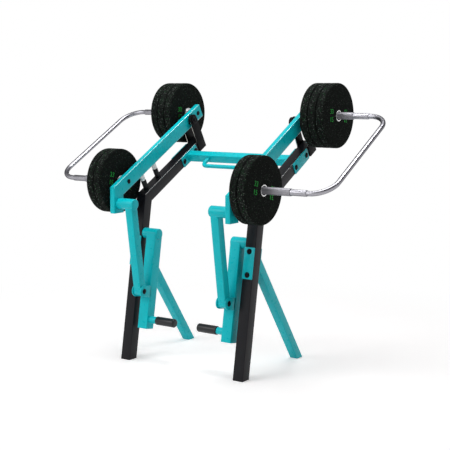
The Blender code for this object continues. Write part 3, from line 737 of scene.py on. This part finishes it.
def throughBolts(middles, outward, front, back):
    # a head on each side of what the bolts clamp
    parts = []
    for middle in middles:
        parts += domeBolt(middle + outward * front, outward)
        parts += domeBolt(middle - outward * back, -outward)
    return combine(parts)


# Lever pivot: pin, a spacer on each side of the lever, an end boss and a low end disc
pivotEnd = {
    "pin": 0.020, "spacer": 0.041, "slack": 0.0006, "boss": 0.036, "bossLength": 0.024,
    "disc": 0.030, "discLength": 0.007, "ease": 0.0015,
    "well": 0.020, "slope": 0.0015, "recess": 0.004, "bolt": 0.012,  # the bolt sits in a sunk well
    "pinSides": 40, "spacerSides": 56, "endSides": 48,
}


def pivotParts(hand):
    centre = hand * frameX
    parts = [drum(
        centre - cheekOuter, centre + cheekOuter, leverPivot, pivotEnd["pin"], pivotEnd["pinSides"],
    )]
    for way in (-1, 1):
        start = centre + way * (machine["leverWidth"] / 2 + pivotEnd["slack"])
        end = centre + way * (tubeFace - gap)
        spacer = drum(start, end, leverPivot, pivotEnd["spacer"], pivotEnd["spacerSides"])
        parts.append(easePlate(spacer))
    for way, name in ((-1, "boss"), (1, "disc")):
        start = centre + way * (cheekOuter + gap)
        end = start + way * pivotEnd[name + "Length"]
        disc = drum(start, end, leverPivot, pivotEnd[name], pivotEnd["endSides"])

        def outerFace(face):
            return endFace(face) and abs(face.calc_center_median().x - end) < tools["near"]
        edit(disc, "FACE", outerFace)
        bpy.ops.mesh.inset(thickness=pivotEnd[name] - pivotEnd["well"], depth=0)
        bpy.ops.mesh.inset(thickness=pivotEnd["slope"], depth=-pivotEnd["recess"])
        calm()
        parts.append(easePlate(disc, pivotEnd["ease"], segments=3))
        wellFloor = at(end - way * pivotEnd["recess"], leverPivot)
        parts += domeBolt(wellFloor, way * outwards, pivotEnd["bolt"], washer=False)
    return combine(parts)


for hand, tag in hands:
    nodes = ["lever_pivot_pin_" + tag]
    finishPiece(pivotParts(hand), "pivotPin_" + tag, "frame", blackSteel, nodes)

# Rubber pads on the stop posts
pad = {"radius": 0.018, "ease": 0.004, "sides": 40}
for label, along in zip(("lower", "upper"), sideFrame["postPlaces"]):
    low = at(frameX, onBeam(along, sideFrame["postTop"] + gap))
    top = at(frameX, onBeam(along, leverRise - machine["leverDepth"] / 2 - gap))
    stopPad = easeEdges(post(low, top, pad["radius"], pad["sides"]), pad["ease"], segments=4)
    nodes = ["stop_pad_" + label + "_{}"]
    finishPair(stopPad, "stopPad_" + label, "frame", padRubber, nodes)
print("machine: side frames made")

# Rear leg with its flange
rearLeg = {
    "tube": 0.060, "corner": 0.0035, "flangeLength": 0.210, "flangeWidth": 0.076,
    "flangeThickness": 0.008, "flangeCorner": 0.006,
}
clamp = {
    "length": 0.2115, "width": 0.080, "thickness": 0.006, "corner": 0.004, "upLeg": 0.7764,
    "spacing": 0.156, "shortEdge": 0.003,
}
flangeBack = tubeFace + rearLeg["flangeThickness"]
setback = (heel - foot).dot(-legFront)
legEnd = heel + rearWay * ((setback - flangeBack + overlap) / rearWay.dot(legFront))
rearTube = tubeRun(
    [heel, legEnd], frameX, (rearLeg["tube"], rearLeg["tube"]), rearLeg["corner"], down, legFront,
)
cornerTest = longEdges(legFront, clamp["shortEdge"])
flange = flatPlate(
    at(frameX, onLeg(clamp["upLeg"], -(flangeBack - rearLeg["flangeThickness"] / 2))),
    (rearLeg["flangeWidth"], rearLeg["flangeThickness"], rearLeg["flangeLength"]),
    legWay, cornerTest, rearLeg["flangeCorner"],
)
whole = combine([rearTube, flange])
finishPair(whole, "rearLeg", "frame", tealPaint, ["rear_leg_{}"])

# Clamp plate on the front leg with its bolts
plateFace = tubeFace + clamp["thickness"]
plate = flatPlate(
    at(frameX, onLeg(clamp["upLeg"], tubeFace + clamp["thickness"] / 2)),
    (clamp["width"], clamp["thickness"], clamp["length"]), legWay, cornerTest, clamp["corner"],
)
finishPair(plate, "legClamp", "frame", tealPaint, ["leg_clamp_plate_{}"])
middles = [
    at(frameX, onLeg(clamp["upLeg"] + shift * clamp["spacing"])) for shift in (-0.5, 0.5)
]
bolts = throughBolts(middles, at(0, legFront), plateFace, flangeBack + gap)
finishPair(bolts, "legBolts", "frame", blackSteel)

# Clamp plate on the beam's outer side with its bolts
crossPlace = {
    "along": 0.5578, "spacing": 0.157, "flangeLength": 0.200, "flangeWidth": 0.080,
    "flangeThickness": 0.007,
}
centre = onBeam(crossPlace["along"])
plate = flatPlate(
    at(frameX + tubeFace + clamp["thickness"] / 2, centre),
    (clamp["thickness"], clamp["width"], clamp["length"]), beamWay, crossEdges, clamp["corner"],
)
finishPair(plate, "beamClamp", "frame", tealPaint, ["crossbar_clamp_plate_{}"])
middles = [
    at(frameX, onBeam(crossPlace["along"] + shift * crossPlace["spacing"])) for shift in (-0.5, 0.5)
]
behind = half + 2 * gap + crossPlace["flangeThickness"]
bolts = throughBolts(middles, outwards, plateFace, behind)
finishPair(bolts, "beamBolts", "frame", blackSteel)

# Crossbar with its end flanges
crossbar = {"tube": 0.060, "corner": 0.0035, "intoFlange": 0.005}
reach = inner - gap
length = 2 * (reach - crossbar["intoFlange"])
tube = block(at(0, centre), (length, crossbar["tube"], crossbar["tube"]), beamWay)
parts = [roundEdges(tube, crossEdges, crossbar["corner"])]
for way in (-1, 1):
    parts.append(flatPlate(
        at(way * (reach - crossPlace["flangeThickness"] / 2), centre),
        (crossPlace["flangeThickness"], crossPlace["flangeWidth"], crossPlace["flangeLength"]),
        beamWay, crossEdges, clamp["corner"],
    ))
finishPiece(combine(parts), "crossbarTube", "frame", tealPaint, ["crossbar"])

# Handle under the crossbar, drawn flat and laid along the beam
handle = {"x": 0.250, "reach": 0.090, "radius": 0.0145, "bend": 0.040, "sides": 32, "bendSteps": 12}
straight = handle["reach"] - handle["bend"]
grab = bentTube(
    handle["radius"], handle["sides"],
    (-handle["x"], crossPlace["along"] - crossbar["tube"] / 2 - gap), (0, -1),
    (straight, 2 * (handle["x"] - handle["bend"]), straight), handle["bend"], handle["bendSteps"],
)
layOnBeam(grab, bend)
finishPiece(grab, "handleTube", "frame", tealPaint, ["handle"])
print("machine: crossbar and handle made")

# Lever arm: tail, mitre above the drop, foot of the drop
lever = {
    "corner": 0.0055, "tail": pivotAlong + 0.1425, "dropBelow": 0.067,
    "shaftRadius": 0.015, "shaftEnd": armX - 0.028, "shaftSides": 40,
}
tail = onBeam(lever["tail"], leverRise)
mitre = tail - beamWay * ((tail.x - linkTop.x) / beamWay.x)
dropEnd = linkTop + down * lever["dropBelow"]
leverTube = tubeRun(
    [tail, mitre, dropEnd], frameX, (machine["leverWidth"], machine["leverDepth"]), lever["corner"],
)
leverInner = frameX - machine["leverWidth"] / 2
leverOuter = frameX + machine["leverWidth"] / 2
shaft = drum(
    leverInner + overlap, lever["shaftEnd"], linkTop, lever["shaftRadius"], lever["shaftSides"],
)
whole = combine([leverTube, shaft])
finishPair(whole, "leverArm", "lever_group_{}", tealPaint, ["lever_arm_{}"])
secondFinish("leverArm", tealCorner, slopedCorner)

# Loading sleeves with collar and flange, and the bolts through the lever
stacks = {
    "front": {"along": pivotAlong - 0.8379, "flange": frameX + 0.052, "plates": 2},
    "rear": {"along": pivotAlong + 0.0988, "flange": frameX + 0.0745, "plates": 3},
}
sleeve = {
    "radius": 0.025, "tip": frameX + 0.3765, "tipEase": 0.0012, "intoFlange": 0.001,
    "collar": 0.030, "flangeRadius": 0.038, "flangeThickness": 0.008, "flangeEase": 0.002,
    "boltRadius": 0.0135, "sides": 64,
}
for label, stack in stacks.items():
    point = onBeam(stack["along"], leverRise)
    flangeStart = stack["flange"] - sleeve["flangeThickness"]
    tube = drum(
        stack["flange"] - sleeve["intoFlange"], sleeve["tip"], point, sleeve["radius"],
        sleeve["sides"],
    )
    roundEdges(tube, rimEdges(sleeve["tip"]), sleeve["tipEase"], segments=3)
    collar = drum(leverOuter + gap, flangeStart, point, sleeve["collar"], sleeve["sides"])
    rim = drum(flangeStart, stack["flange"], point, sleeve["flangeRadius"], sleeve["sides"])
    easeEdges(rim, sleeve["flangeEase"], segments=3)
    body = "lever_group_{}"
    nodes = [label + "_sleeve_{}"]
    finishPair(tube, label + "Sleeve", body, satinSteel, nodes)
    whole = combine([collar, rim])
    finishPair(whole, label + "SleeveFlange", body, brightSteel)
    head = combine(domeBolt(at(leverInner - gap, point), -outwards, sleeve["boltRadius"]))
    nodes = [label + "_sleeve_bolt_{}"]
    finishPair(head, label + "SleeveBolt", body, blackSteel, nodes)

# Rail from sleeve to sleeve, drawn flat and laid along the lever
rail = {
    "radius": 0.0168, "lead": 0.014, "bend": 0.140, "intoCoupler": 0.001,
    "coupler": 0.0207, "couplerEnd": sleeve["tip"] + 0.116, "couplerEase": 0.0025,
    "overSleeve": 0.02, "sides": 40, "couplerSides": 48, "bendSteps": 20,
}
span = stacks["rear"]["along"] - stacks["front"]["along"]
lead = rail["lead"] + rail["intoCoupler"]
loop = bentTube(
    rail["radius"], rail["sides"], (rail["couplerEnd"] - rail["intoCoupler"], 0), (1, 0),
    (lead, span - 2 * rail["bend"], lead), rail["bend"], rail["bendSteps"],
)
layOnBeam(loop, onBeam(stacks["front"]["along"], leverRise))
parts = [loop]
for stack in stacks.values():
    coupler = drum(
        sleeve["tip"] - rail["overSleeve"], rail["couplerEnd"], onBeam(stack["along"], leverRise),
        rail["coupler"], rail["couplerSides"],
    )
    end = rimEdges(rail["couplerEnd"])
    parts.append(roundEdges(coupler, end, rail["couplerEase"], segments=3))
whole = combine(parts)
nodes = ["weight_rail_{}"]
finishPair(whole, "weightRail", "lever_group_{}", stainless, nodes)
print("machine: levers, sleeves and rails made")

# Rubber weight plates with their steel rings and painted numerals
weight = {
    "radius": 0.225, "pitch": 0.0625, "rim": 0.011, "sides": 96,
    "proud": 0.001,  # how far the ring stands out of the rubber
    "ring": 0.038, "ringBore": 0.0254, "lip": 0.0065, "slope": 0.001, "recess": 0.008,
    "mouth": 0.003, "ringEase": 0.0008, "ringSides": 64,
    "slopeTest": 0.1,  # the bore's own wall faces X less than this
}
numerals = {
    "lines": ("15", "33"), "size": 0.047, "reach": 0.100, "pitch": 0.054,
    "thickness": 0.0003, "bold": 0.0004, "above": 0.0001,
}
plateTurns = {
    "front_right": radians(13), "rear_right": radians(1.5),
    "front_left": radians(13), "rear_left": 0,
}


def boreThrough(piece, insetSize):
    # both round faces are inset to the bore and joined by its wall
    edit(piece, "FACE", endFace)
    bpy.ops.mesh.inset(thickness=insetSize, depth=0)
    bpy.ops.mesh.delete(type="FACE")
    edit(piece, "EDGE", lambda edge: len(edge.link_faces) == 1)
    bpy.ops.mesh.bridge_edge_loops()
    calm()


def rubberPlate(xInner, point):
    low = xInner + weight["proud"]
    high = xInner + weight["pitch"] - gap - weight["proud"]
    piece = drum(low, high, point, weight["radius"], weight["sides"])
    boreThrough(piece, weight["radius"] - weight["ring"] - gap)
    shoulder = circleEdges(point, weight["radius"] - tools["edgeBand"], 2 * weight["radius"])
    return roundEdges(piece, shoulder, weight["rim"], segments=6)


def steelRing(xInner, point):
    piece = drum(xInner, xInner + weight["pitch"] - gap, point, weight["ring"], weight["ringSides"])
    edit(piece, "FACE", endFace)
    bpy.ops.mesh.inset(thickness=weight["lip"], depth=0)
    bpy.ops.mesh.inset(thickness=weight["slope"], depth=-weight["recess"])
    calm()
    boreThrough(piece, weight["ring"] - weight["lip"] - weight["slope"] - weight["ringBore"])
    mouth = circleEdges(point, 0, weight["ringBore"] + tools["edgeBand"])
    roundEdges(piece, mouth, weight["mouth"], segments=1)
    return easePlate(piece, weight["ringEase"])


def numeralPair(x, point, outward, turn):
    # two lines on one side of the ring, and the same again half a turn round
    made = []
    for level, line in enumerate(numerals["lines"]):
        calm()
        bpy.ops.object.text_add(location=(0, 0, 0))
        digits = bpy.context.object.data
        digits.body = line
        digits.size = numerals["size"]
        digits.align_x = "CENTER"
        digits.align_y = "CENTER"
        digits.extrude = numerals["thickness"]
        digits.offset = numerals["bold"]
        bpy.ops.object.convert(target="MESH")
        figures = bpy.context.object
        figures.rotation_euler = (pi / 2, 0, outward * pi / 2)
        lift = (level - 0.5) * numerals["pitch"]
        figures.location = (x, point.x - numerals["reach"] * outward, point.y + lift)
        made.append(settle())
    group = combine(made)
    other = copyOf(group)
    turnPiece(other, pi, at(x, point))
    whole = combine([group, other])
    turnPiece(whole, turn, at(x, point))
    return whole


def paintedShadeRecess(face):
    # the sunk floor and slope inside a ring's lip, on either side, painted black as shade
    middle = face.calc_center_median()
    centres = [onBeam(stack["along"], leverRise) for stack in stacks.values()]
    reach = min((sidePoint(middle) - centre).length for centre in centres)
    inLip = weight["ringBore"] + tools["level"] < reach < weight["ring"] - weight["lip"]
    return inLip and abs(face.normal.x) > weight["slopeTest"]


for label, stack in stacks.items():
    point = onBeam(stack["along"], leverRise)
    firstX = stack["flange"] + gap
    firstPlate = rubberPlate(firstX, point)
    firstRing = steelRing(firstX, point)
    for number in range(stack["plates"]):
        pair = []
        for first in (firstPlate, firstRing):
            copy = copyOf(first)
            copy.location.x = number * weight["pitch"]
            pair.append(settle())
        name = label + "_plate_" + str(number + 1)
        title = label + "Plate" + str(number + 1)
        body = name + "_group_{}"
        finishPair(pair[0], title, body, crumb, [name + "_{}"])
        nodes = [name + "_ring_{}"]
        finishPair(pair[1], title + "Ring", body, zincRing, nodes)
        # painted shade: the recess inside each ring's lip is painted black
        secondFinish(title + "Ring", blackSteel, paintedShadeRecess)
        low = firstX + number * weight["pitch"] + weight["proud"]
        high = low + weight["pitch"] - gap - 2 * weight["proud"]
        for hand, tag in hands:
            turn = plateTurns[label + "_" + tag]
            figures = combine([
                numeralPair(hand * (high + numerals["above"]), point, hand, turn),
                numeralPair(hand * (low - numerals["above"]), point, -hand, turn),
            ])
            finishPiece(
                figures, title + "Numerals_" + tag, body.format(tag), greenPaint,
            )
    for first in (firstPlate, firstRing):
        bpy.data.objects.remove(first, do_unlink=True)
print("machine: weight plates made")

# Link from the lever's drop to the swing arm
link = {
    "tube": 0.060, "corner": 0.0035, "topRadius": 0.038, "topEnd": armX - 0.042, "topSides": 64,
    "lowRadius": 0.034, "lowWidth": 0.062, "lowSides": 56, "rounding": 0.008, "ease": 0.002,
}
clevis = {
    "down": 0.408, "reach": 0.101, "cheek": 0.008, "nose": 0.042, "root": 0.014, "ease": 0.001,
}
linkLow = armPivot - legWay * clevis["down"] + legFront * clevis["reach"]
linkTube = tubeRun([linkTop, linkLow], armX, (link["tube"], link["tube"]), link["corner"])
hubEnd = leverInner - gap
topHub = drum(link["topEnd"], hubEnd, linkTop, link["topRadius"], link["topSides"])
roundEdges(topHub, rimEdges(link["topEnd"]), link["rounding"], segments=5)
roundEdges(topHub, rimEdges(hubEnd), link["ease"], segments=2)
lowHub = drum(
    armX - link["lowWidth"] / 2, armX + link["lowWidth"] / 2, linkLow, link["lowRadius"],
    link["lowSides"],
)
easeEdges(lowHub, link["ease"])
whole = combine([linkTube, topHub, lowHub])
finishPair(whole, "linkBar", "link_group_{}", tealPaint, ["link_{}"])

# Swing arm with its hub, clevis cheeks and peg
arm = {
    "tube": 0.080, "corner": 0.004, "below": 0.0663,
    "hubRadius": 0.038, "hubEnd": armX - 0.046, "hubSides": 64,
    "pegRadius": 0.025, "pegEase": 0.004, "pegSides": 48, "bead": 0.003,
    "axle": 0.012, "axleEnd": pegX - 0.138, "axleSides": 24,
}
armLow = peg - legWay * arm["below"]
armTube = tubeRun([armPivot, armLow], armX, (arm["tube"], arm["tube"]), arm["corner"])
hub = drum(arm["hubEnd"], inner - gap, armPivot, arm["hubRadius"], arm["hubSides"])
parts = [armTube, roundEdges(hub, rimEdges(arm["hubEnd"]), link["rounding"], segments=5)]
root = linkLow - legFront * (clevis["reach"] - arm["tube"] / 2 + clevis["root"])
nose = linkLow + legFront * clevis["nose"]
for way in (-1, 1):
    x = armX + way * (arm["tube"] - clevis["cheek"]) / 2
    cheek = cheekPlate(x, root, nose, clevis["cheek"], clevis["nose"], legFront, clevis["ease"])
    parts.append(cheek)
armInner = armX - arm["tube"] / 2
stub = drum(armInner + overlap, pegX, peg, arm["pegRadius"], arm["pegSides"])
parts += [
    roundEdges(stub, rimEdges(pegX), arm["pegEase"], segments=3),
    drum(pegX + overlap, arm["axleEnd"], peg, arm["axle"], arm["axleSides"]),
    bead(at(armInner, peg), outwards, arm["pegRadius"], arm["bead"]),
]
whole = combine(parts)
finishPair(whole, "swingArm", "swing_arm_group_{}", tealPaint, ["swing_arm_{}"])

# Short bolts in the clevis cheeks
for label, way in (("inner", -1), ("outer", 1)):
    head = combine(domeBolt(at(armX + way * (arm["tube"] / 2 + gap), linkLow), way * outwards))
    nodes = ["clevis_bolt_" + label + "_{}"]
    body = "swing_arm_group_{}"
    finishPair(head, label + "ClevisBolt", body, blackSteel, nodes)

# Foot grip that rolls on the peg's axle
grip = {"radius": 0.030, "length": 0.160, "rounding": 0.010, "openEase": 0.003, "sides": 56}
openX = pegX - gap
closedX = pegX - grip["length"]
rubber = drum(openX, closedX, peg, grip["radius"], grip["sides"])
roundEdges(rubber, rimEdges(closedX), grip["rounding"], segments=6)
roundEdges(rubber, rimEdges(openX), grip["openEase"], segments=3)
finishPair(rubber, "footGrip", "grip_group_{}", gripRubber, ["foot_grip_{}"])
print("machine: links, swing arms and grips made")

# Floor, light and camera
studio = {
    "floorSize": 60, "floorDrop": 0.0005, "floorColour": (0.925, 0.9, 0.9, 1),
    "nearGlow": 0.345, "fadeStart": 0.7, "fadeEnd": 3.2, "worldSoft": 0.35,
    "keyPower": 178, "keyPlace": (-3.0, -5.4, 4.4), "keySize": 4.0,
    "topPower": 116, "topPlace": (0.1, -0.2, 5.4), "topSize": 2.4,
    "edgePower": 85, "edgePlace": (1.9, 1.0, 5.2), "edgeSize": 0.8,
    "ceilingStart": 0.02, "ceilingEnd": 0.4, "ceilingLeft": 0.4, "ceilingRight": 0.1,
    "leftX": -0.3, "rightX": 0.4, "aim": (0, 0, 0.9), "white": (1, 1, 1, 1),
}
calm()
bpy.ops.mesh.primitive_plane_add(size=studio["floorSize"], location=(0, 0, -studio["floorDrop"]))
floor = bpy.context.object
floor.name = "floor"
floor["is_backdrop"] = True


def seenRays(tree, path):
    # camera, glossy and transmission rays
    total = path.outputs["Is Camera Ray"]
    for ray in ("Is Glossy Ray", "Is Transmission Ray"):
        total = mathFrom(tree, "MAXIMUM", total, path.outputs[ray])
    return total


# The floor is lit near the machine, and fades to plain white further out
floorPaint, tree, shader = newMaterial("floorPaint")
tree.nodes.remove(shader)
seen = seenRays(tree, addNode(tree, "LightPath", {}))
reachOut = addNode(tree, "VectorMath", {0: placeFrom(tree)}, operation="LENGTH")
fade = addNode(tree, "MapRange", {
    "Value": reachOut.outputs["Value"],
    "From Min": studio["fadeStart"], "From Max": studio["fadeEnd"],
}, interpolation_type="SMOOTHSTEP")
matt = addNode(tree, "BsdfDiffuse", {"Color": studio["floorColour"]})
lift = addNode(tree, "Emission", {
    "Color": studio["white"], "Strength": mathFrom(tree, "MULTIPLY", studio["nearGlow"], seen),
})
near = addNode(tree, "AddShader", {0: matt.outputs["BSDF"], 1: lift.outputs["Emission"]})
white = addNode(tree, "Emission", {"Color": studio["white"]})
mix = addNode(tree, "MixShader", {
    "Fac": mathFrom(tree, "MULTIPLY", fade.outputs["Result"], seen),
    1: near.outputs["Shader"], 2: white.outputs["Emission"],
})
feed(tree, tree.nodes["Material Output"], {"Surface": mix.outputs["Shader"]})
floor.data.materials.append(floorPaint)

# The world shows white to the camera and a darker ceiling to reflections, and lights softly
world = bpy.data.worlds.new("studio")
bpy.context.scene.world = world
world.use_nodes = True
tree = world.node_tree
soft = tree.nodes["Background"]
feed(tree, soft, {"Color": studio["white"], "Strength": studio["worldSoft"]})
path = addNode(tree, "LightPath", {})
heading = addNode(tree, "SeparateXYZ", {"Vector": placeFrom(tree, "Generated")})
sideLevel = addNode(tree, "MapRange", {
    "Value": heading.outputs["X"], "From Min": studio["leftX"], "From Max": studio["rightX"],
    "To Min": studio["ceilingLeft"], "To Max": studio["ceilingRight"],
})
ceiling = addNode(tree, "MapRange", {
    "Value": heading.outputs["Z"],
    "From Min": studio["ceilingStart"], "From Max": studio["ceilingEnd"],
    "To Min": 1, "To Max": sideLevel.outputs["Result"],
}, interpolation_type="SMOOTHSTEP")
brighter = mathFrom(tree, "MAXIMUM", ceiling.outputs["Result"], path.outputs["Is Camera Ray"])
backdrop = addNode(tree, "Background", {"Color": studio["white"], "Strength": brighter})
mix = addNode(tree, "MixShader", {
    "Fac": seenRays(tree, path), 1: soft.outputs["Background"], 2: backdrop.outputs["Background"],
})
feed(tree, tree.nodes["World Output"], {"Surface": mix.outputs["Shader"]})

for label in ("key", "top", "edge"):
    calm()
    bpy.ops.object.light_add(type="AREA", location=studio[label + "Place"])
    lamp = bpy.context.object
    lamp.name = label + "Lamp"
    lamp.data.shape = "SQUARE"
    lamp.data.size = studio[label + "Size"]
    lamp.data.energy = studio[label + "Power"]
    aim = Vector(studio["aim"]) - lamp.location
    lamp.rotation_euler = aim.to_track_quat("-Z", "Y").to_euler()
    lamp.visible_camera = False
    lamp.visible_diffuse = label != "edge"  # the small lamp only glints on the tubes' corners

view = {
    "place": (4.2072, -5.937, 1.937), "tilt": radians(82.31), "turn": radians(34.87),
    "lens": 82.755, "sensor": 36, "farthest": 100,
}
bpy.ops.object.camera_add(location=view["place"], rotation=(view["tilt"], 0, view["turn"]))
camera = bpy.context.object
camera.data.lens = view["lens"]
camera.data.sensor_width = view["sensor"]
camera.data.clip_end = view["farthest"]
bpy.context.scene.camera = camera
bpy.context.scene.view_settings.view_transform = "Standard"
print("machine: floor, light and camera ready")

low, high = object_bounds()
